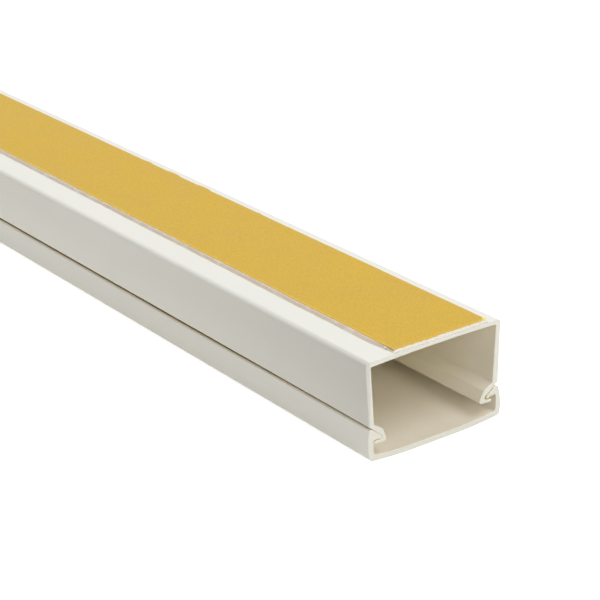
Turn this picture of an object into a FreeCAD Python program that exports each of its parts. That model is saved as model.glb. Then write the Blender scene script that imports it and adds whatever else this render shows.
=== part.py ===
"""Cord cover raceway: two snapped plastic extrusions with adhesive tape on the back.

The raceway lies with its cover down and its adhesive back up, as loose stock
is laid out. X runs along the length, Y across the width and Z up. The origin
is on the floor, under the middle of the length and width. Every outline is
one half of the constant cross-section, for Y from the middle outwards.
"""
import FreeCAD, Part
import os
import Sketcher

# Each size in millimetres, and what it measures.
SIZES = [
    ("length", 400, "length of the stock"),
    # Channel
    ("base_width", 40, "channel over its back corners"),
    ("side_depth", 15.95, "back face to the foot of the side wall"),
    ("side_lean", 0.5, "each side wall leans in by this over its depth"),
    ("side_thickness", 1.3, "side wall"),
    ("back_thickness", 1.1, "back wall beside the side walls"),
    ("back_hollow", 0.35, "how much thinner the back is in the middle"),
    ("shoulder_drop", 3.0, "fall of the shoulder from wall foot to groove"),
    ("shoulder_thickness", 1.25, "shoulder over the groove, straight down"),
    ("hook_head", 0.3, "hook leg inside the groove, at the shoulder"),
    ("hook_foot", 1.7, "hook leg inside the groove, at its underside"),
    ("hook_floor", 1.0, "hook below the groove"),
    ("lip_droop", 0.15, "fall of the lip's seat from groove to tip"),
    ("lip_thickness", 0.65, "lip at its tip"),
    # Fit of the barb in the groove
    ("groove_opening", 1.05, "height of the groove's inner wall"),
    ("snap_engagement", 1.9, "how far lip and barb overlap"),
    ("tip_clearance", 0.5, "barb tip to the groove's inner wall"),
    ("slope_clearance", 0.35, "shoulder to barb, straight down"),
    ("seat_clearance", 0.15, "barb to lip, straight down"),
    # Cover
    ("plate_thickness", 1.36, "plate in the middle"),
    ("plate_flat", 10, "flat middle of the plate, between its curved sides"),
    ("crown", 0.75, "rise of the outer face from the flat to the corner"),
    ("inner_crown", 0.6, "rise of the inner face from the flat to the corner"),
    ("corner_tuck", 0.2, "plate's corner inside the channel's width, each side"),
    ("leg_thickness", 1.35, "leg"),
    ("leg_bow", 13, "radius of the leg's bowed outer face"),
    ("barb_reach", 2.25, "barb tip from the leg's inner face"),
    ("barb_level", 5.9, "underside of the barb's tip above the floor"),
    ("barb_rise", 0.45, "rise of the barb's underside towards the leg"),
    ("edge_land", 0.9, "width of the bevel on the leg's edge"),
    ("edge_drop", 0.35, "fall of that bevel"),
    # Radii of the rounded corners
    ("back_round", 0.6, "outer corners of the back"),
    ("duct_round", 0.5, "inner corners of the duct and its knees"),
    ("foot_round", 0.8, "foot of the side wall and inside of the hook"),
    ("groove_round", 0.4, "corners of the groove"),
    ("lip_round", 0.2, "edges of the lip"),
    ("cover_round", 1.3, "outer corners of the cover"),
    ("cover_inner_round", 0.8, "inner corners of the cover"),
    ("leg_round", 0.35, "edges of leg and barb"),
    # Tape and liner
    ("tape_width", 28.2, "tape"),
    ("tape_thickness", 0.65, "tape without its liner"),
    ("tape_offset", 2.2, "tape's middle from the channel's middle"),
    ("tape_setback", 1.0, "tape's cut end from the channel's end"),
    ("liner_width", 27.8, "liner"),
    ("liner_thickness", 0.15, "liner"),
    ("liner_offset", 2.5, "liner's middle from the channel's middle"),
    ("liner_setback", 0.8, "liner's cut end from the channel's end"),
]

# First guess of an arc's bulge to the right or left of its way.
RIGHT = 0.3
LEFT = -0.3

# Levels above the floor and distances from the middle that the pieces share.
FOOT_Y = "(Sizes.base_width / 2 - Sizes.side_lean)"
TIP_Y = f"({FOOT_Y} - Sizes.leg_thickness - Sizes.barb_reach)"
GROOVE_Y = f"({TIP_Y} - Sizes.tip_clearance)"
SHOULDER_SLOPE = f"(Sizes.shoulder_drop / ({FOOT_Y} - {GROOVE_Y}))"
SEAT_LEVEL = "(Sizes.barb_level - Sizes.seat_clearance)"
GROOVE_LEVEL = f"({SEAT_LEVEL} + Sizes.groove_opening)"
FOOT_LEVEL = f"({GROOVE_LEVEL} + Sizes.shoulder_drop)"
BACK_LEVEL = f"({FOOT_LEVEL} + Sizes.side_depth)"


def make_sheet(doc):
    """Lay out the sizes, one row each, with the size's name as its alias."""
    sheet = doc.addObject("Spreadsheet::Sheet", "Sizes")
    for row, (alias, value, meaning) in enumerate(SIZES, start=1):
        sheet.set(f"A{row}", alias)
        sheet.set(f"B{row}", str(value))
        sheet.set(f"C{row}", meaning)
        sheet.setAlias(f"B{row}", alias)
    doc.recompute()


def origin_plane(body, role):
    """Return the body's own origin plane of that role."""
    return [plane for plane in body.Origin.OriginFeatures if plane.Role == role][0]


def new_sketch(body, name, role):
    """Start a sketch on one of the body's origin planes."""
    sketch = body.newObject("Sketcher::SketchObject", name)
    sketch.AttachmentSupport = (origin_plane(body, role), "")
    sketch.MapMode = "FlatFace"
    return sketch


def bind(sketch, constraint, expression):
    """Add a dimension to a sketch and tie it to the sheet."""
    index = sketch.addConstraint(constraint)
    sketch.setExpression(f"Constraints[{index}]", expression)


def place_corners(sketch, corners):
    """Put a construction point at each corner, tied to the sheet across and up."""
    marks = {}
    for name, across, up in corners:
        marks[name] = sketch.addGeometry(Part.Point(FreeCAD.Vector(1, 1, 0)), True)
        bind(sketch, Sketcher.Constraint("DistanceX", -1, 1, marks[name], 1, 1.0), across)
        bind(sketch, Sketcher.Constraint("DistanceY", -1, 1, marks[name], 1, 1.0), up)
    sketch.Document.recompute()
    return marks


def add_side(sketch, start, end, bulge):
    """Add a straight side, or an arc that bulges to the right of its way.

    Returns the side's index and which of its ends lie at start and end.
    """
    if not bulge:
        return sketch.addGeometry(Part.LineSegment(start, end), False), 1, 2
    along = end - start
    right = FreeCAD.Vector(along.y, -along.x, 0).normalize()
    middle = (start + end) / 2 + right * bulge
    turn = along.cross(middle - start).z
    first, last = (start, end) if turn < 0 else (end, start)
    circle = Part.Circle(first, middle, last)
    arc = Part.ArcOfCircle(circle, circle.parameter(first), circle.parameter(last))
    index = sketch.addGeometry(arc, False)
    near_start = (sketch.Geometry[index].StartPoint - start).Length
    near_end = (sketch.Geometry[index].EndPoint - start).Length
    return (index, 1, 2) if near_start < near_end else (index, 2, 1)


def draw_outline(sketch, corners, arcs):
    """Draw the closed outline through the corners.

    arcs maps the corner where an arc starts to the side that it bulges to,
    and to its radius or to the corner that its centre is straight above or
    below, where the arc is level.
    """
    marks = place_corners(sketch, corners)
    names = [corner[0] for corner in corners]
    spots = {}
    for name in names:
        point = sketch.Geometry[marks[name]]
        spots[name] = FreeCAD.Vector(point.X, point.Y, 0)
    for here, there in zip(names, names[1:] + names[:1]):
        bulge, rule = arcs.get(here, (0, None))
        side, first, last = add_side(sketch, spots[here], spots[there], bulge)
        sketch.addConstraint(Sketcher.Constraint("Coincident", side, first, marks[here], 1))
        sketch.addConstraint(Sketcher.Constraint("Coincident", side, last, marks[there], 1))
        if rule in marks:
            sketch.addConstraint(Sketcher.Constraint("Vertical", side, 3, marks[rule], 1))
        elif rule:
            bind(sketch, Sketcher.Constraint("Radius", side, 1.0), rule)
    sketch.Document.recompute()
    return spots


def long_edges(shape, spots):
    """Name the lengthwise edges that run through the given corners."""
    found = []
    for index, edge in enumerate(shape.Edges, start=1):
        middle = edge.CenterOfMass
        for spot in spots:
            if abs(middle.y - spot.x) < 1e-4 and abs(middle.z - spot.y) < 1e-4:
                found.append(f"Edge{index}")
    if len(found) != len(spots):
        raise RuntimeError(f"{len(found)} edges for {len(spots)} corners")
    return found


def extrude_half(body, corners, arcs, rounds):
    """Extrude the half outline, round its corners and mirror it."""
    doc = body.Document
    sketch = new_sketch(body, "Outline", "YZ_Plane")
    spots = draw_outline(sketch, corners, arcs)
    pad = body.newObject("PartDesign::Pad", "Extrusion")
    pad.Profile = sketch
    pad.SideType = "Symmetric"
    pad.setExpression("Length", "Sizes.length")
    doc.recompute()
    last = pad
    for radius, names in rounds.items():
        fillet = body.newObject("PartDesign::Fillet", f"Fillet_{radius}")
        fillet.Base = (last, long_edges(last.Shape, [spots[name] for name in names]))
        fillet.setExpression("Radius", f"Sizes.{radius}")
        doc.recompute()
        last = fillet
    mirror = body.newObject("PartDesign::Mirrored", "BothHalves")
    mirror.TransformMode = "Whole shape"
    mirror.MirrorPlane = (origin_plane(body, "XZ_Plane"), [""])
    body.Tip = mirror
    doc.recompute()


def make_base_channel(doc):
    """Channel that is stuck to the wall: back, side walls, shoulders and hooks.

    The outline's heights count down from the back face, which is glued on.
    """
    body = doc.addObject("PartDesign::Body", "base_channel")
    groove = "-(Sizes.side_depth + Sizes.shoulder_drop)"
    seat = f"({groove} - Sizes.groove_opening)"
    lip_tip = f"({TIP_Y} + Sizes.snap_engagement)"
    corners = [
        ("back_middle", "0", "0"),
        ("inner_middle", "0", "Sizes.back_hollow - Sizes.back_thickness"),
        ("inner_corner", "Sizes.base_width / 2 - Sizes.side_thickness", "-Sizes.back_thickness"),
        ("wall_knee", f"{FOOT_Y} - Sizes.side_thickness", "-Sizes.side_depth"),
        ("hook_knee", f"{GROOVE_Y} - Sizes.hook_head", f"{groove} + Sizes.shoulder_thickness"),
        ("hook_heel", f"{GROOVE_Y} - Sizes.hook_foot", f"{seat} - Sizes.hook_floor"),
        ("lip_under", lip_tip, f"{seat} - Sizes.lip_droop - Sizes.lip_thickness"),
        ("lip_top", lip_tip, f"{seat} - Sizes.lip_droop"),
        ("seat_root", GROOVE_Y, seat),
        ("groove_root", GROOVE_Y, groove),
        ("wall_foot", FOOT_Y, "-Sizes.side_depth"),
        ("back_corner", "Sizes.base_width / 2", "0"),
    ]
    arcs = {"inner_middle": (LEFT, "inner_middle")}
    rounds = {
        "back_round": ["back_corner"],
        "duct_round": ["inner_corner", "wall_knee", "hook_knee"],
        "foot_round": ["wall_foot", "hook_heel"],
        "groove_round": ["seat_root", "groove_root"],
        "lip_round": ["lip_under", "lip_top"],
    }
    extrude_half(body, corners, arcs, rounds)
    body.setExpression("Placement.Base.z", BACK_LEVEL)
    return body


def make_snap_cover(doc):
    """Cover that snaps on: crowned plate, bowed legs and barbs that point in.

    Its edge bevel and barb run parallel to the shoulder that they lie against.
    """
    body = doc.addObject("PartDesign::Body", "snap_cover")
    edge_y = f"({FOOT_Y} - Sizes.edge_land)"
    slope_level = f"({FOOT_LEVEL} - Sizes.slope_clearance)"
    edge_level = f"({slope_level} - {SHOULDER_SLOPE} * Sizes.edge_land)"
    tip_level = f"({slope_level} - {SHOULDER_SLOPE} * ({FOOT_Y} - {TIP_Y}))"
    corner_y = "(Sizes.base_width / 2 - Sizes.corner_tuck)"
    corners = [
        ("plate_under", "0", "0"),
        ("flat_edge", "Sizes.plate_flat / 2", "0"),
        ("cover_corner", corner_y, "Sizes.crown"),
        ("leg_edge", FOOT_Y, f"{edge_level} - Sizes.edge_drop"),
        ("leg_top", edge_y, edge_level),
        ("barb_nose", TIP_Y, tip_level),
        ("barb_tip", TIP_Y, "Sizes.barb_level"),
        ("barb_root", f"{FOOT_Y} - Sizes.leg_thickness + Sizes.barb_rise",
         "Sizes.barb_level + Sizes.barb_rise"),
        ("inner_corner", f"{corner_y} - Sizes.leg_thickness",
         "Sizes.plate_thickness + Sizes.inner_crown"),
        ("inner_flat_edge", "Sizes.plate_flat / 2", "Sizes.plate_thickness"),
        ("plate_top", "0", "Sizes.plate_thickness"),
    ]
    arcs = {
        "flat_edge": (RIGHT, "flat_edge"),
        "cover_corner": (RIGHT, "Sizes.leg_bow"),
        "barb_root": (LEFT, "Sizes.leg_bow - Sizes.leg_thickness"),
        "inner_corner": (LEFT, "inner_flat_edge"),
    }
    rounds = {
        "cover_round": ["cover_corner"],
        "cover_inner_round": ["inner_corner"],
        "leg_round": ["leg_edge", "leg_top", "barb_nose", "barb_tip", "barb_root"],
    }
    extrude_half(body, corners, arcs, rounds)
    return body


def make_strip(doc, label, piece, level):
    """Flat strip stuck on the back, cut off a little short of both ends."""
    body = doc.addObject("PartDesign::Body", label)
    sketch = new_sketch(body, "Strip", "XY_Plane")
    half_length = f"(Sizes.length / 2 - Sizes.{piece}_setback)"
    half_width = f"Sizes.{piece}_width / 2"
    draw_outline(sketch, [
        ("rear_left", f"-{half_length}", f"-{half_width}"),
        ("front_left", half_length, f"-{half_width}"),
        ("front_right", half_length, half_width),
        ("rear_right", f"-{half_length}", half_width),
    ], {})
    pad = body.newObject("PartDesign::Pad", "Layer")
    pad.Profile = sketch
    pad.setExpression("Length", f"Sizes.{piece}_thickness")
    body.setExpression("Placement.Base.y", f"Sizes.{piece}_offset")
    body.setExpression("Placement.Base.z", level)
    return body


def make_adhesive_tape(doc):
    """Double-sided foam tape, stuck on the back face of the channel."""
    return make_strip(doc, "adhesive_tape", "tape", BACK_LEVEL)


def make_release_liner(doc):
    """Paper strip that keeps the tape's outer face clean until it is peeled."""
    return make_strip(doc, "release_liner", "liner", f"{BACK_LEVEL} + Sizes.tape_thickness")


def check_document(doc, bodies):
    """Stop when any object failed or a piece is not one sound solid."""
    for item in doc.Objects:
        if "Invalid" in item.State or "Error" in item.State:
            raise RuntimeError(f"{item.Name} failed: {item.State}")
    for body in bodies:
        shape = body.Shape
        if shape.isNull() or not shape.isValid() or len(shape.Solids) != 1:
            raise RuntimeError(f"{body.Label} is not one sound solid")


def main():
    doc = FreeCAD.newDocument("raceway")
    make_sheet(doc)
    bodies = [
        make_base_channel(doc),
        make_snap_cover(doc),
        make_adhesive_tape(doc),
        make_release_liner(doc),
    ]
    doc.recompute()
    check_document(doc, bodies)
    os.makedirs("parts", exist_ok=True)
    for body in bodies:
        body.Shape.exportStep(f"parts/{body.Label}.step")
        box = body.Shape.BoundBox
        print(f"{body.Label}: {body.Shape.Volume:.1f} mm3, x {box.XMin:.2f} {box.XMax:.2f}, "
              f"y {box.YMin:.2f} {box.YMax:.2f}, z {box.ZMin:.2f} {box.ZMax:.2f}")


main()
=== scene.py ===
"""Looks of the cord cover raceway: two snapped extrusions, tape and release paper."""
import bpy
import numpy as np
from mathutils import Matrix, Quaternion, Vector


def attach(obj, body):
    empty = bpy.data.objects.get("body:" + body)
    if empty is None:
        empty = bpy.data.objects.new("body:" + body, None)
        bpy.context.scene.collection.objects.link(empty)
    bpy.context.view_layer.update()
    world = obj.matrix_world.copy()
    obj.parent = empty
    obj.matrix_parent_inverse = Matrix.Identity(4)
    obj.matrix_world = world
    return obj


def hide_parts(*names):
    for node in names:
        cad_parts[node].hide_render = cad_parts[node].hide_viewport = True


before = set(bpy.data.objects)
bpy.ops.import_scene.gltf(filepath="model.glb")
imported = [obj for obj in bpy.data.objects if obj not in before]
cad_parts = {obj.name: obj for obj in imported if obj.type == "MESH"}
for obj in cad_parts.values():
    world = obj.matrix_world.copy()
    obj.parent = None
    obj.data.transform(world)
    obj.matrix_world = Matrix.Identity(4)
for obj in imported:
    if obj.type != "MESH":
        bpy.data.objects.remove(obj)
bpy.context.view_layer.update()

# Base channel
#
# The half of the raceway that is glued to the wall: a back, two side walls and
# the hooks that hold the cover. It is ivory rigid PVC, extruded in one piece
# and sawn to length, so its faces carry faint lines along the draw.
HALF_LENGTH = 200  # mm


def rounded_section(corners):
    """Trace a closed section through its corners, with the solid on the left.

    A row is y, z, corner radius, bow radius and shade zone of the side that
    follows, in mm. The zone is 0 outside, 1 in the duct, which gets painted
    bounce light and shade, and 2 in the seam, which gets painted shade. A
    positive bow curves to the left. A stretch of length s that starts at
    heading h with curvature k ends at its start plus
    s * sinc(k s / 2) * (cos, sin)(h + k s / 2). A corner's arc starts and ends
    where both sides, moved sideways by its radius, meet, which a few Newton
    steps find. Returns points, outward normals and shade zones.
    """
    newton_steps = 8
    longest_chord, arc_error = 0.7, 0.002  # mm
    y, z, corner, bow, shade_zone = np.array(corners, float).T
    start = np.stack([y, z], 1)
    chord = np.roll(start, -1, 0) - start
    width = np.hypot(chord[:, 0], chord[:, 1])
    bend = np.divide(1.0, bow, out=np.zeros_like(bow), where=bow != 0)
    curved = np.where(bend == 0, 1.0, bend)
    length = np.where(bend == 0, width, 2 * np.arcsin(width * bend / 2) / curved)
    heading = np.arctan2(chord[:, 1], chord[:, 0]) - bend * length / 2

    def walk(point, way, curvature, s):
        middle = way + curvature * s / 2
        reach = s * np.sinc(curvature * s / 2 / np.pi)
        return point + reach[:, None] * np.stack([np.cos(middle), np.sin(middle)], 1)

    before, way, pull, run = (np.roll(v, 1, 0) for v in (start, heading, bend, length))
    turn = np.angle(np.exp(1j * (heading - way - pull * run)))
    offset = np.sign(turn) * corner
    trim = corner * np.tan(np.abs(turn) / 2)
    leave, join = run - trim, trim.copy()
    for _ in range(newton_steps):
        into, out = way + pull * leave, heading + bend * join
        left_in = np.stack([-np.sin(into), np.cos(into)], 1)
        left_out = np.stack([-np.sin(out), np.cos(out)], 1)
        gap = (walk(before, way, pull, leave) + offset[:, None] * left_in
               - walk(start, heading, bend, join) - offset[:, None] * left_out)
        a, b = 1 - offset * pull, 1 - offset * bend
        cross = np.where(corner > 0, a * b * np.sin(out - into), 1.0)
        step_in = -b * (gap[:, 0] * np.sin(out) - gap[:, 1] * np.cos(out)) / cross
        step_out = -a * (gap[:, 0] * np.sin(into) - gap[:, 1] * np.cos(into)) / cross
        leave = leave + np.where(corner > 0, step_in, 0)
        join = join + np.where(corner > 0, step_out, 0)
    into, out = way + pull * leave, heading + bend * join
    swing = np.angle(np.exp(1j * (out - into)))
    point = np.stack([walk(before, way, pull, leave), walk(start, heading, bend, join)], 1)
    point = point.reshape(-1, 2)
    angle = np.stack([into, out], 1).ravel()
    curve = np.stack([np.divide(np.sign(swing), corner, out=np.zeros_like(corner),
                                where=corner > 0), bend], 1).ravel()
    size = np.stack([corner * np.abs(swing), np.roll(leave, -1) - join], 1).ravel()
    face_from = np.stack([np.roll(shade_zone, 1), shade_zone], 1).ravel()
    face_to = np.repeat(shade_zone, 2)
    steps = np.ceil(size * np.maximum(1 / longest_chord, np.sqrt(np.abs(curve) / (8 * arc_error))))
    steps = np.where(size > 1e-7, np.maximum(steps, 1), 0).astype(int)
    stretch = np.repeat(np.arange(len(steps)), steps)
    share = (np.arange(steps.sum()) - (np.cumsum(steps) - steps)[stretch]) / steps[stretch]
    s = share * size[stretch]
    points = walk(point[stretch], angle[stretch], curve[stretch], s)
    facing = angle[stretch] + curve[stretch] * s
    normals = np.stack([np.sin(facing), -np.cos(facing)], 1)
    inside = face_from[stretch] * (1 - share) + face_to[stretch] * share
    return points, normals, inside


def placed(name, data):
    """Put a mesh, a lamp or a camera in the scene as an object."""
    made = bpy.data.objects.new(name, data)
    bpy.context.collection.objects.link(made)
    return made


def extrusion(name, section, warp):
    """Carry a section along X and close it with sawn ends.

    A vertex is the section's point moved by warp(x, y, z), with x in mm from
    the nearer end. In the last 0.1 mm the outline draws in along its normals by
    0.03 to 0.2 mm, uneven along the outline, as an edge that a saw has broken.
    """
    points, normals, inside = section
    chip_width = 0.8  # mm
    side = np.hypot(*(np.roll(points, -1, 0) - points).T)
    edge = (np.cumsum(side) - side) / chip_width
    chips = np.random.default_rng(8).uniform(0.03, 0.2, (2, int(edge[-1]) + 2))
    rear_cut, front_cut = (np.interp(edge, np.arange(chips.shape[1]), row) for row in chips)
    # Depths from an end at which the outline is set, closest where it changes most.
    depth = np.concatenate([[0, 0.1, 0.4, 1], np.arange(2, 24, 1.5),
                            np.arange(24, HALF_LENGTH, 4), [HALF_LENGTH]])
    station = np.concatenate([HALF_LENGTH - depth, (depth - HALF_LENGTH)[-2::-1]])
    count, around = len(station), len(points)
    x = np.repeat(station, around)
    y, z = np.tile(points, (count, 1)).T
    ny, nz = np.tile(normals, (count, 1)).T
    drawn = np.zeros_like(x)
    drawn[:around], drawn[-around:] = front_cut, rear_cut
    dy, dz = warp(HALF_LENGTH - np.abs(x), y, z)
    vertices = np.stack([x, y - ny * drawn + dy, z - nz * drawn + dz], 1) / 1000
    ring, spot = np.meshgrid(np.arange(count - 1), np.arange(around), indexing="ij")
    near, far = ring * around, (ring + 1) * around
    after = (spot + 1) % around
    quads = np.stack([near + spot, far + spot, far + after, near + after], 2).reshape(-1, 4)
    front, rear = np.arange(around), (count * around - around) + np.arange(around)[::-1]
    mesh = bpy.data.meshes.new(name)
    mesh.from_pydata(vertices, [], quads.tolist() + [front.tolist(), rear.tolist()])
    facing = np.stack([np.zeros(len(x)), ny, nz], 1)
    corner_normals = facing[quads].reshape(count - 1, around, 4, 3)
    corner_normals[0, ..., 0] = 1
    corner_normals[-1, ..., 0] = -1
    corner_normals = corner_normals.reshape(-1, 3)
    corner_normals /= np.linalg.norm(corner_normals, axis=1)[:, None]
    caps = np.repeat([[1.0, 0, 0], [-1.0, 0, 0]], around, axis=0)
    mesh.polygons.foreach_set("use_smooth", np.ones(len(mesh.polygons), bool))
    mesh.normals_split_custom_set(np.concatenate([corner_normals, caps]).tolist())
    # Shade zone per point: 1 for the duct's painted bounce light and shade, 2 for the seam's
    # painted shade
    shade_zone = mesh.attributes.new("shade_zone", "FLOAT", "POINT")
    shade_zone.data.foreach_set("value", np.tile(inside, count).astype(np.float32))
    mesh.update()
    return placed(name, mesh)


def node(tree, kind, **values):
    """Add a shader node and set its properties, or its inputs where these are named so."""
    made = tree.nodes.new(kind)
    for key, value in values.items():
        if key in made.inputs:
            made.inputs[key].default_value = value
        else:
            setattr(made, key, value)
    return made


def mixed(tree, kind, factor, first, second):
    """Blend two colours by a factor, each an output socket or a plain value.

    In the Mix node's RGBA form, its colours are inputs 6 and 7 and output 2.
    """
    made = node(tree, "ShaderNodeMix", data_type="RGBA", blend_type=kind)
    for socket, value in zip((made.inputs[0], made.inputs[6], made.inputs[7]),
                             (factor, first, second)):
        if isinstance(value, bpy.types.NodeSocket):
            tree.links.new(value, socket)
        else:
            socket.default_value = value
    return made.outputs[2]


def ranged(tree, value, low, high, to_low, to_high):
    """Map a value from low..high to to_low..to_high and hold it there."""
    made = node(tree, "ShaderNodeMapRange")
    tree.links.new(value, made.inputs["Value"])
    for key, number in zip(("From Min", "From Max", "To Min", "To Max"),
                           (low, high, to_low, to_high)):
        made.inputs[key].default_value = number
    return made.outputs["Result"]


def computed(tree, operation, first, second=0.0):
    """Math node on one or two values, each an output socket or a plain number."""
    made = node(tree, "ShaderNodeMath", operation=operation)
    for socket, value in zip(made.inputs, (first, second)):
        if isinstance(value, bpy.types.NodeSocket):
            tree.links.new(value, socket)
        else:
            socket.default_value = value
    return made.outputs[0]


def end_mask(tree, along, start, full, high=1.0):
    """Rise from 0 to high between two distances in mm from the nearer end."""
    return ranged(tree, computed(tree, "ABSOLUTE", along), (HALF_LENGTH - start) / 1000,
                  (HALF_LENGTH - full) / 1000, 0.0, high)


def noise(tree, place, stretch, turn=(0, 0, 0), detail=2.0, rough=0.5):
    """Noise with so many spots a metre on each axis, along axes that are turned."""
    mapping = node(tree, "ShaderNodeMapping", vector_type="TEXTURE", Rotation=turn,
                   Scale=[1 / spots for spots in stretch])
    tree.links.new(place, mapping.inputs["Vector"])
    made = node(tree, "ShaderNodeTexNoise", Scale=1.0, Detail=detail, Roughness=rough)
    tree.links.new(mapping.outputs["Vector"], made.inputs["Vector"])
    return made.outputs["Fac"]


def principled(name, ior):
    """New material with its node tree and its shader, which gets this IOR."""
    material = bpy.data.materials.new(name)
    material.use_nodes = True
    shader = material.node_tree.nodes["Principled BSDF"]
    shader.inputs["IOR"].default_value = ior
    return material, material.node_tree, shader


def bumped(tree, shader, height, strength, distance):
    """Bump the surface by a height times a distance in metres."""
    bump = node(tree, "ShaderNodeBump", Strength=strength, Distance=distance)
    tree.links.new(height, bump.inputs["Height"])
    tree.links.new(bump.outputs["Normal"], shader.inputs["Normal"])


def extruded_surface():
    """Group for both extrusions: draw lines, mottling, painted light and shade, and sawn ends.

    The draw lines are noise that hardly changes along X. A point attribute is
    0 on outer faces, 1 where a face is turned to the duct and 2 in the seam.
    The duct gets a warm painted bounce light at its mouth that turns to
    painted shade farther in, and the seam gets painted shade. The near wall
    has painted shade towards the ends and painted light towards its foot.
    """
    tree = bpy.data.node_groups.new("extruded_surface", "ShaderNodeTree")
    for name in ("Face", "Lining", "Deep", "Seam", "Sawn"):
        tree.interface.new_socket(name, in_out="INPUT", socket_type="NodeSocketColor")
    tree.interface.new_socket("Colour", in_out="OUTPUT", socket_type="NodeSocketColor")
    for name in ("Roughness", "Height"):
        tree.interface.new_socket(name, in_out="OUTPUT", socket_type="NodeSocketFloat")
    given = node(tree, "NodeGroupInput")
    place = node(tree, "ShaderNodeTexCoord").outputs["Object"]
    lines = noise(tree, place, (6, 2200, 2200), detail=3.0, rough=0.6)
    broad = noise(tree, place, (9, 260, 260))
    cloud = noise(tree, place, (70, 110, 110), detail=4.0)
    grain = noise(tree, place, (9000, 9000, 9000), detail=1.0)
    saw = noise(tree, place, (1, 700, 9000), turn=(0.5, 0, 0), detail=3.0, rough=0.7)
    split = node(tree, "ShaderNodeSeparateXYZ")
    tree.links.new(place, split.inputs[0])
    sawn = end_mask(tree, split.outputs["X"], 0.07, 0.02)
    # Painted light: a warm bounce tint at the duct's mouth, painted shade farther in and in the
    # seam
    shade_zone = node(tree, "ShaderNodeAttribute", attribute_name="shade_zone").outputs["Fac"]
    far_in = end_mask(tree, split.outputs["X"], 8, 60)
    painted_duct_tint = mixed(tree, "MIX", far_in, given.outputs["Lining"], given.outputs["Deep"])
    in_duct = ranged(tree, shade_zone, 0.0, 1.0, 0.0, 1.0)
    in_seam = ranged(tree, shade_zone, 1.0, 2.0, 0.0, 1.0)
    colour = mixed(tree, "MIX", in_duct, given.outputs["Face"], painted_duct_tint)
    colour = mixed(tree, "MIX", in_seam, colour, given.outputs["Seam"])
    colour = mixed(tree, "MIX", sawn, colour, given.outputs["Sawn"])
    shade = computed(tree, "ADD", ranged(tree, cloud, 0.3, 0.7, 0.982, 1.002),
                     ranged(tree, broad, 0.3, 0.7, -0.008, 0.0))
    colour = mixed(tree, "MULTIPLY", 1.0, colour, shade)
    # Painted shade and light on the near wall: darker towards the ends, lighter towards its foot
    outside = ranged(tree, split.outputs["Y"], -0.0186, -0.0190, 0.0, 1.0)
    above_seam = ranged(tree, split.outputs["Z"], 0.0090, 0.0092, 0.0, 1.0)
    wall = computed(tree, "MULTIPLY", outside, above_seam)
    to_end = end_mask(tree, split.outputs["X"], 130, 2)
    painted_end_shade = computed(tree, "MULTIPLY", computed(tree, "MULTIPLY", to_end, to_end), -0.18)
    paler_with_painted_light = ranged(tree, split.outputs["Z"], 0.0200, 0.0105, 0.01, 0.085)
    tone = computed(tree, "MULTIPLY", wall, computed(tree, "ADD", painted_end_shade, paler_with_painted_light))
    colour = mixed(tree, "MULTIPLY", 1.0, colour, computed(tree, "ADD", 1.0, tone))
    drawn = computed(tree, "SUBTRACT", 1.0, sawn)
    relief = computed(tree, "ADD", computed(tree, "MULTIPLY", lines, 0.5),
                      computed(tree, "MULTIPLY", broad, 1.6))
    relief = computed(tree, "ADD", computed(tree, "MULTIPLY", relief, drawn),
                      computed(tree, "MULTIPLY", grain, 0.12))
    cut = computed(tree, "MULTIPLY", computed(tree, "MULTIPLY", saw, 6.0), sawn)
    gloss = computed(tree, "ADD", ranged(tree, cloud, 0.3, 0.7, 0.34, 0.44),
                     computed(tree, "MULTIPLY", sawn, 0.3))
    result = node(tree, "NodeGroupOutput")
    tree.links.new(colour, result.inputs["Colour"])
    tree.links.new(gloss, result.inputs["Roughness"])
    tree.links.new(computed(tree, "ADD", relief, cut), result.inputs["Height"])
    return tree


EXTRUDED = extruded_surface()


def rigid_pvc(name, face, painted_deep_shade):
    """Satin rigid PVC with its outer colour and the painted shade of the duct far in."""
    material, tree, shader = principled(name, 1.53)
    # The duct's colours are painted bounce light and shade, and the seam's is painted shade
    surface = node(tree, "ShaderNodeGroup", node_tree=EXTRUDED, Face=(*face, 1.0),
                   Lining=(0.968, 0.906, 0.775, 1.0), Deep=(*painted_deep_shade, 1.0),
                   Seam=(0.96, 0.85, 0.64, 1.0), Sawn=(0.718, 0.71, 0.635, 1.0))
    tree.links.new(surface.outputs["Colour"], shader.inputs["Base Color"])
    tree.links.new(surface.outputs["Roughness"], shader.inputs["Roughness"])
    bumped(tree, shader, surface.outputs["Height"], 1.0, 0.000004)
    return material


CHANNEL = [
    (18.62, 24.65, 0.4, 0, 1),     # far inner corner of the duct
    (17.6, 9.9, 0.5, 0, 1),        # knee where the wall turns in
    (14.9, 8.4, 0.5, 0, 1),        # knee where the hook turns down
    (13.0, 5.25, 0.8, 0, 1),       # heel of the hook
    (17.3, 5.05, 0.3, 0, 1),       # lip, below
    (17.25, 5.7, 0.25, 0, 2),      # lip, above
    (15.3, 5.9, 0.35, 0, 2),       # groove, below
    (15.3, 6.8, 0.4, 0, 2),        # groove, above
    (19.33, 9.8, 0.8, 0, 0),       # foot of the side wall
    (20.0, 25.75, 0.9, 0, 0),      # back corners
    (-20.0, 25.75, 1.3, 0, 0),
    (-19.27, 9.56, 0.5, 0, 2),     # near side, the same corners in reverse
    (-15.7, 6.6, 0.4, 0, 2),
    (-15.7, 5.62, 0.4, 0, 2),
    (-17.9, 5.68, 0.2, 0, 1),
    (-17.9, 4.9, 0.2, 0, 1),
    (-14.05, 4.75, 0.8, 0, 1),
    (-15.25, 8.1, 0.5, 0, 1),
    (-17.85, 9.75, 0.5, 0, 1),
    (-18.5, 24.38, 0.15, -499.7, 1),  # middle of the back, a little thinner
]


def still(x, y, z):
    """Leave the section where it is."""
    return 0 * y, 0 * z


channel = extrusion("channel_shell", rounded_section(CHANNEL), still)
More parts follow.
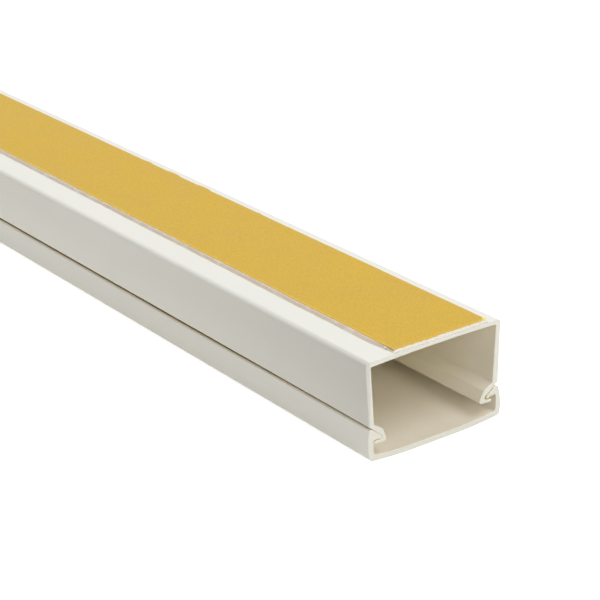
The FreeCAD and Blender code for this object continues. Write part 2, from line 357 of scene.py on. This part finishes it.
# The second colour is painted shade deep in the duct
channel.data.materials.append(
    rigid_pvc("ivory_channel", (0.872, 0.866, 0.798), (0.968, 0.875, 0.58)))
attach(channel, "channel")
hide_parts("base_channel")

# Snap cover
#
# The lid that clips between the hooks: a crowned plate on two bowed legs with
# barbs that point in. It is extruded from the same PVC. Along the length its
# legs sit lower than at the sawn end, so the seam is wider there.
COVER = [
    (5.0, 0.0, 0, 131.0, 0),       # far edge of the plate's flat middle
    (19.8, 0.87, 1.3, 13.6, 0),    # outer corner
    (19.4, 8.4415, 0.35, 0, 0),    # edge of the leg
    (18.5, 8.7915, 0.35, 0, 2),    # top of the leg
    (15.8, 6.75, 0.35, 0, 2),      # nose of the barb
    (15.75, 6.03, 0.3, 0, 1),      # tip of the barb
    (18.55, 6.7, 0.35, -11.65, 1),  # root of the barb
    (18.36, 2.08, 0.8, -131.0, 1),  # inner corner
    (5.0, 1.38, 0, 0, 1),          # edge of the flat middle, inside
    (-5.0, 1.38, 0, -118.0, 1),    # near side, the same corners in reverse
    (-18.05, 2.1, 0.8, -30.0, 1),
    (-18.05, 6.05, 0.3, 0, 2),
    (-15.8, 5.76, 0.3, 0, 2),
    (-15.8, 6.66, 0.3, 0, 2),
    (-18.42, 8.72, 0.2, 0, 0),
    (-19.27, 8.82, 0.45, 30.0, 0),
    (-19.42, 0.92, 1.4, 113.0, 0),
    (-5.0, 0.0, 0, 0, 0),
]


def lowered_legs(x, y, z):
    """Lower the tops of the legs: by 0.1 mm 20 mm in, and by 0.27 mm from 80 mm in.

    This fades in between 6.9 and 8.4 mm above the floor.
    """
    first, second = np.clip(x / 20, 0, 1), np.clip((x - 20) / 60, 0, 1)
    first, second = (share * share * (3 - 2 * share) for share in (first, second))
    top = np.clip((z - 6.9) / 1.5, 0, 1)
    return 0 * y, -(0.1 * first + 0.17 * second) * top


cover = extrusion("cover_shell", rounded_section(COVER), lowered_legs)
# The outer colour, lighter than the channel's, is painted light for the cover's brighter sides; the
# second is painted shade deep in the duct
cover.data.materials.append(
    rigid_pvc("ivory_cover", (0.955, 0.945, 0.875), (0.964, 0.896, 0.73)))
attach(cover, "cover")
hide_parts("snap_cover")

# Adhesive tape
#
# Double-sided foam tape along the back: soft, pale pinkish grey, and cut by
# hand a little short of the ends, so its cut edges are ragged.


def wandering(where, seed, *scales):
    """Smooth uneven line: half the sum of sines of the given periods and heights.

    Each sine has two overtones, which are lower as they are quicker.
    """
    chance = np.random.default_rng(seed)
    line = np.zeros_like(where)
    for period, height in scales:
        for quicker in (1.0, 1.7, 2.9):
            line += height / quicker * np.sin(
                2 * np.pi * quicker * where / period + chance.uniform(0, 2 * np.pi))
    return line / 2


def layer(name, near, far, ends, levels):
    """Flat layer with uneven edges, in mm: one outline at each level, and a skin.

    The outline runs along y = near(x), up the front end, back along
    y = far(x) and down the rear end. An end lies ends(y) short of the stock's
    end, and the rear one is the front one turned round. A level is a height and
    how far the long edges have drawn in there.
    """
    last = HALF_LENGTH - 1.0
    along = np.linspace(-last, last, 1600)
    across = np.linspace(near(last), far(last), 300)
    front = HALF_LENGTH - ends(across)
    rear = -HALF_LENGTH + ends(-across)
    x = np.concatenate([along, front, along[::-1], rear[::-1]])
    y = np.concatenate([near(along), across, far(along[::-1]), across[::-1]])
    middle = (near(x) + far(x)) / 2
    inward = (middle - y) / (far(x) - near(x)) * 2
    rings = [np.stack([x, y + inward * drawn, z + 0 * x], 1) for z, drawn in levels]
    count = len(x)
    spot = np.arange(count)
    after = (spot + 1) % count
    bands = len(levels) - 1
    quads = [np.stack([spot, after, after + count, spot + count], 1) + band * count
             for band in range(bands)]
    top = bands * count + spot
    mesh = bpy.data.meshes.new(name)
    mesh.from_pydata(np.concatenate(rings) / 1000, [],
                     np.concatenate(quads).tolist() + [spot[::-1].tolist(), top.tolist()])
    round_the_edge = np.arange(len(mesh.polygons)) < len(mesh.polygons) - 2
    mesh.polygons.foreach_set("use_smooth", round_the_edge)
    mesh.update()
    return placed(name, mesh)


def tape_near_edge(x):
    """Near edge, which turns in over the last centimetre before the front end."""
    turned_in = 0.85 * np.clip((x - 189) / 10, 0, 1) ** 1.5
    return -12.5 + turned_in + wandering(x, 3, (60, 0.08), (9, 0.06), (1.3, 0.03))


# The two lowest levels lie inside the back, so the tape grows out of it.
tape = layer("tape_band", near=tape_near_edge,
             far=lambda x: 16.6 + wandering(x, 4, (70, 0.05), (8, 0.04)),
             ends=lambda y: 0.62 + wandering(y, 5, (11, 0.08), (2.3, 0.1), (1.1, 0.05)),
             levels=[(25.66, -0.1), (25.72, -0.03), (25.78, 0.07), (25.95, 0.27), (26.2, 0.53),
                     (26.39, 0.72)])


def tape_foam():
    """Closed-cell foam: fine bubbles in a matt skin, paler in patches and at torn ends, and painted
    light at its foot.
    """
    material, tree, shader = principled("pale_foam", 1.45)
    shader.inputs["Roughness"].default_value = 0.75
    place = node(tree, "ShaderNodeTexCoord").outputs["Object"]
    patches = noise(tree, place, (260, 500, 900), detail=4.0)
    cells = noise(tree, place, (6000, 6000, 6000), detail=2.0)
    split = node(tree, "ShaderNodeSeparateXYZ")
    tree.links.new(place, split.inputs[0])
    torn = end_mask(tree, split.outputs["X"], 1.8, 1.0, 0.9)
    # Painted light: the tape's foot, where it meets the back, is made paler against the crease's
    # shade
    painted_foot_light = ranged(tree, split.outputs["Z"], 0.02575, 0.02583, 0.8, 0.0)
    paler_with_painted_light = computed(tree, "MAXIMUM", torn, ranged(tree, patches, 0.5, 0.75, 0.0, 1.0))
    paler_with_painted_light = computed(tree, "MAXIMUM", paler_with_painted_light, painted_foot_light)
    colour = mixed(tree, "MIX", paler_with_painted_light, (0.70, 0.60, 0.495, 1.0), (0.81, 0.77, 0.67, 1.0))
    tree.links.new(colour, shader.inputs["Base Color"])
    bumped(tree, shader, cells, 0.4, 0.00003)
    return material


tape.data.materials.append(tape_foam())
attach(tape, "channel")
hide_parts("adhesive_tape")

# Release liner
#
# Waxed yellow paper that covers the tape until it is stuck on. Its long edges
# are slit, a little wavy, and its ends are torn off by hand.


def torn_bumps(x):
    """Bits of the far edge that the slitter left, each a low rounded bulge.

    A bulge of half-length l and height h around the place m adds
    h * s * (2 - s), where s falls from 1 at m to 0 at m +- l, and m is counted
    from the front end.
    """
    line = np.zeros_like(x)
    for middle, half, height in ((-151.2, 2.3, 0.3), (-137.6, 3.6, 0.52),
                                 (-121.6, 3.9, 0.47), (-94.4, 1.2, 0.2)):
        share = np.clip(1 - np.abs(x - HALF_LENGTH - middle) / half, 0, 1)
        line += height * share * (2 - share)
    return line


liner = layer("liner_sheet",
              near=lambda x: -11.3 + wandering(x, 11, (45, 0.14), (7, 0.08), (1.1, 0.05)),
              far=lambda x: 16.05 + wandering(x, 12, (50, 0.05), (6, 0.03)) + torn_bumps(x),
              ends=lambda y: 0.72 + wandering(y, 13, (12, 0.14), (2.4, 0.28), (0.9, 0.2)),
              levels=[(26.40, 0.0), (26.53, 0.0)])


def release_paper():
    """Waxed paper: fine fibres, a cloudy dye, a soft sheen and brighter worn edges.

    The ear is the front end's far corner, which is scuffed pale.
    """
    material, tree, shader = principled("yellow_release_paper", 1.47)
    place = node(tree, "ShaderNodeTexCoord").outputs["Object"]
    fibres = noise(tree, place, (1300, 2600, 2400), turn=(0, 0, 2.53), detail=3.0, rough=0.7)
    cloud = noise(tree, place, (70, 90, 90), detail=5.0, rough=0.6)
    split = node(tree, "ShaderNodeSeparateXYZ")
    tree.links.new(place, split.inputs[0])
    tone = mixed(tree, "MIX", ranged(tree, cloud, 0.32, 0.68, 0.0, 1.0),
                 (0.662, 0.418, 0.04, 1.0), (0.695, 0.447, 0.05, 1.0))
    near_edge = ranged(tree, split.outputs["Y"], -0.0106, -0.0111, 0.0, 0.8)
    front_end = ranged(tree, split.outputs["X"], 0.1984, 0.1992, 0.0, 0.6)
    bulges = ranged(tree, split.outputs["Y"], 0.0162, 0.0165, 0.0, 0.8)
    worn = computed(tree, "MAXIMUM", computed(tree, "MAXIMUM", near_edge, front_end), bulges)
    slanted = computed(tree, "MULTIPLY", split.outputs["Y"], 0.9)
    ear = ranged(tree, computed(tree, "ADD", split.outputs["X"], slanted), 0.2123, 0.2126, 0.0, 1.0)
    tone = mixed(tree, "MIX", worn, tone, (0.82, 0.55, 0.06, 1.0))
    tone = mixed(tree, "MIX", ear, tone, (0.95, 0.76, 0.12, 1.0))
    fleck = mixed(tree, "MIX", ranged(tree, fibres, 0.25, 0.75, 0.0, 1.0),
                  (0.885, 0.85, 0.6, 1.0), (1.075, 1.105, 1.45, 1.0))
    colour = mixed(tree, "MULTIPLY", 1.0, tone, fleck)
    tree.links.new(colour, shader.inputs["Base Color"])
    tree.links.new(ranged(tree, cloud, 0.3, 0.7, 0.5, 0.62), shader.inputs["Roughness"])
    bumped(tree, shader, fibres, 0.4, 0.00002)
    return material


liner.data.materials.append(release_paper())
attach(liner, "channel")
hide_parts("release_liner")

# Crumbs
#
# Bits of dried adhesive and foam that the slitter left along the tape's near
# edge, with a larger one at its front corner. They are small white specks.


def lumps(name, places, seed):
    """Uneven little balls at x, y, z of the given radius, all in mm.

    A point at angles a and b of a ball lies at its place plus radius times
    (sin a cos b, sin a sin b, 0.6 cos a), times 0.7 to 1 at random.
    """
    rings, around, first_angle = 5, 8, 0.35
    chance = np.random.default_rng(seed)
    centre = np.array(places, float)
    a, b = np.meshgrid(np.linspace(first_angle, np.pi - first_angle, rings),
                       np.arange(around) * 2 * np.pi / around, indexing="ij")
    ball = np.stack([np.sin(a) * np.cos(b), np.sin(a) * np.sin(b), 0.6 * np.cos(a)], 2)
    ball = ball.reshape(-1, 3)
    swell = chance.uniform(0.7, 1.0, (len(centre), len(ball), 1))
    vertices = centre[:, None, :3] + centre[:, None, 3:] * ball * swell
    ring, spot = np.meshgrid(np.arange(rings - 1), np.arange(around), indexing="ij")
    above, below = ring * around, (ring + 1) * around
    after = (spot + 1) % around
    quads = np.stack([above + spot, below + spot, below + after, above + after], 2)
    start = np.arange(len(centre))[:, None, None] * len(ball)
    sides = (start + quads.reshape(-1, 4)).reshape(-1, 4).tolist()
    tops = (start[:, 0] + np.arange(around)).tolist()
    bottoms = (start[:, 0] + len(ball) - around + np.arange(around)[::-1]).tolist()
    mesh = bpy.data.meshes.new(name)
    mesh.from_pydata(vertices.reshape(-1, 3) / 1000, [], sides + tops + bottoms)
    mesh.polygons.foreach_set("use_smooth", np.ones(len(mesh.polygons), bool))
    mesh.update()
    return placed(name, mesh)


# Place along and across, and radius, in mm. They stick to the tape's upper edge.
TAPE_CRUMBS = [(56, -11.6, 0.24), (61, -11.7, 0.2), (70, -11.7, 0.28), (73, -11.8, 0.2),
               (77, -11.8, 0.22), (97.5, -11.7, 0.3), (102, -11.8, 0.26), (109, -11.6, 0.2),
               (126, -11.8, 0.24), (129, -11.6, 0.2), (145, -11.6, 0.2), (188, -11.7, 0.16),
               (-40, -11.5, 0.2), (-95, -11.6, 0.22), (-150, -11.5, 0.2)]
UPPER_EDGE = 26.36
CORNER_CRUMB = (196.4, -11.62, 26.16, 0.38)
crumbs = lumps("adhesive_crumbs",
               [(x, y, UPPER_EDGE, r) for x, y, r in TAPE_CRUMBS] + [CORNER_CRUMB], 21)
dried, tree, shader = principled("dried_adhesive", 1.5)
shader.inputs["Roughness"].default_value = 0.6
patches = noise(tree, node(tree, "ShaderNodeTexCoord").outputs["Object"], (4000, 4000, 4000))
tree.links.new(mixed(tree, "MIX", patches, (0.82, 0.79, 0.74, 1.0), (0.95, 0.94, 0.92, 1.0)),
               shader.inputs["Base Color"])
crumbs.data.materials.append(dried)
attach(crumbs, "channel")

# Studio
#
# A pale floor, an even sky and four soft lamps, the strongest above and behind.
# The camera sees floor and sky as white, with the contact shadow, and the
# floor's own glow grows with the distance, so it stays white far away.


def seen_as_white(tree, lit, camera_look, target):
    """Use camera_look for what the camera, gloss and glass see, and lit for light."""
    path = node(tree, "ShaderNodeLightPath").outputs
    by_glass = computed(tree, "MAXIMUM", path["Is Glossy Ray"], path["Is Transmission Ray"])
    seen = computed(tree, "MAXIMUM", path["Is Camera Ray"], by_glass)
    mix = node(tree, "ShaderNodeMixShader")
    tree.links.new(seen, mix.inputs[0])
    tree.links.new(lit, mix.inputs[1])
    tree.links.new(camera_look, mix.inputs[2])
    tree.links.new(mix.outputs[0], target)


world = bpy.data.worlds.new("even_sky")
bpy.context.scene.world = world
world.use_nodes = True
sky = world.node_tree
light = sky.nodes["Background"]
light.inputs["Color"].default_value = (1.0, 1.0, 1.0, 1.0)
light.inputs["Strength"].default_value = 0.12
backdrop = node(sky, "ShaderNodeBackground", Color=(1.0, 1.0, 1.0, 1.0), Strength=1.0)
seen_as_white(sky, light.outputs[0], backdrop.outputs[0],
              sky.nodes["World Output"].inputs["Surface"])

mesh = bpy.data.meshes.new("floor")
mesh.from_pydata([(-6, -6, 0), (6, -6, 0), (6, 6, 0), (-6, 6, 0)], [], [(0, 1, 2, 3)])
floor = placed("floor", mesh)
pale = bpy.data.materials.new("pale_floor")
pale.use_nodes = True
tree = pale.node_tree
tree.nodes.remove(tree.nodes["Principled BSDF"])
lit = node(tree, "ShaderNodeBsdfDiffuse", Color=(0.80, 0.78, 0.73, 1.0))
glow = node(tree, "ShaderNodeEmission", Color=(1.0, 1.0, 1.0, 1.0))
span = node(tree, "ShaderNodeVectorMath", operation="LENGTH")
tree.links.new(node(tree, "ShaderNodeTexCoord").outputs["Object"], span.inputs[0])
tree.links.new(ranged(tree, span.outputs["Value"], 0.6, 2.2, 0.8, 0.93), glow.inputs["Strength"])
shaded = node(tree, "ShaderNodeAddShader")
tree.links.new(lit.outputs[0], shaded.inputs[0])
tree.links.new(glow.outputs[0], shaded.inputs[1])
seen_as_white(tree, lit.outputs[0], shaded.outputs[0],
              tree.nodes["Material Output"].inputs["Surface"])
mesh.materials.append(pale)

aim = Vector((0.1, 0, 0))
for name, place, size, watts in (("front_top_box", (0.75, 0.3, 1.1), 0.9, 5.7),
                                 ("front_box", (1.8, 0.1, 0.35), 1.3, 17.0),
                                 ("near_side_box", (1.2, -1.1, 0.7), 0.9, 2.2),
                                 ("rear_top_box", (-2.6, 0.0, 2.4), 1.4, 90.0)):
    lamp = bpy.data.lights.new(name, "AREA")
    lamp.shape = "DISK"
    lamp.size = size
    lamp.energy = watts
    box = placed(name, lamp)
    box.location = place
    box.visible_glossy = name != "rear_top_box"
    box.rotation_euler = (aim - box.location).to_track_quat("-Z", "Y").to_euler()

lens = bpy.data.cameras.new("camera")
lens.sensor_width = 36
lens.lens = 115.91
lens.clip_start, lens.clip_end = 0.01, 50
camera = placed("camera", lens)
camera.location = (0.514238, -0.25651, 0.206498)
look = Vector((-0.756396, 0.527767, -0.386428))
roll = Quaternion((0, 0, 1), np.radians(-1.9685))
camera.rotation_euler = (look.to_track_quat("-Z", "Y") @ roll).to_euler()
bpy.context.scene.camera = camera
bpy.context.scene.view_settings.view_transform = "Standard"
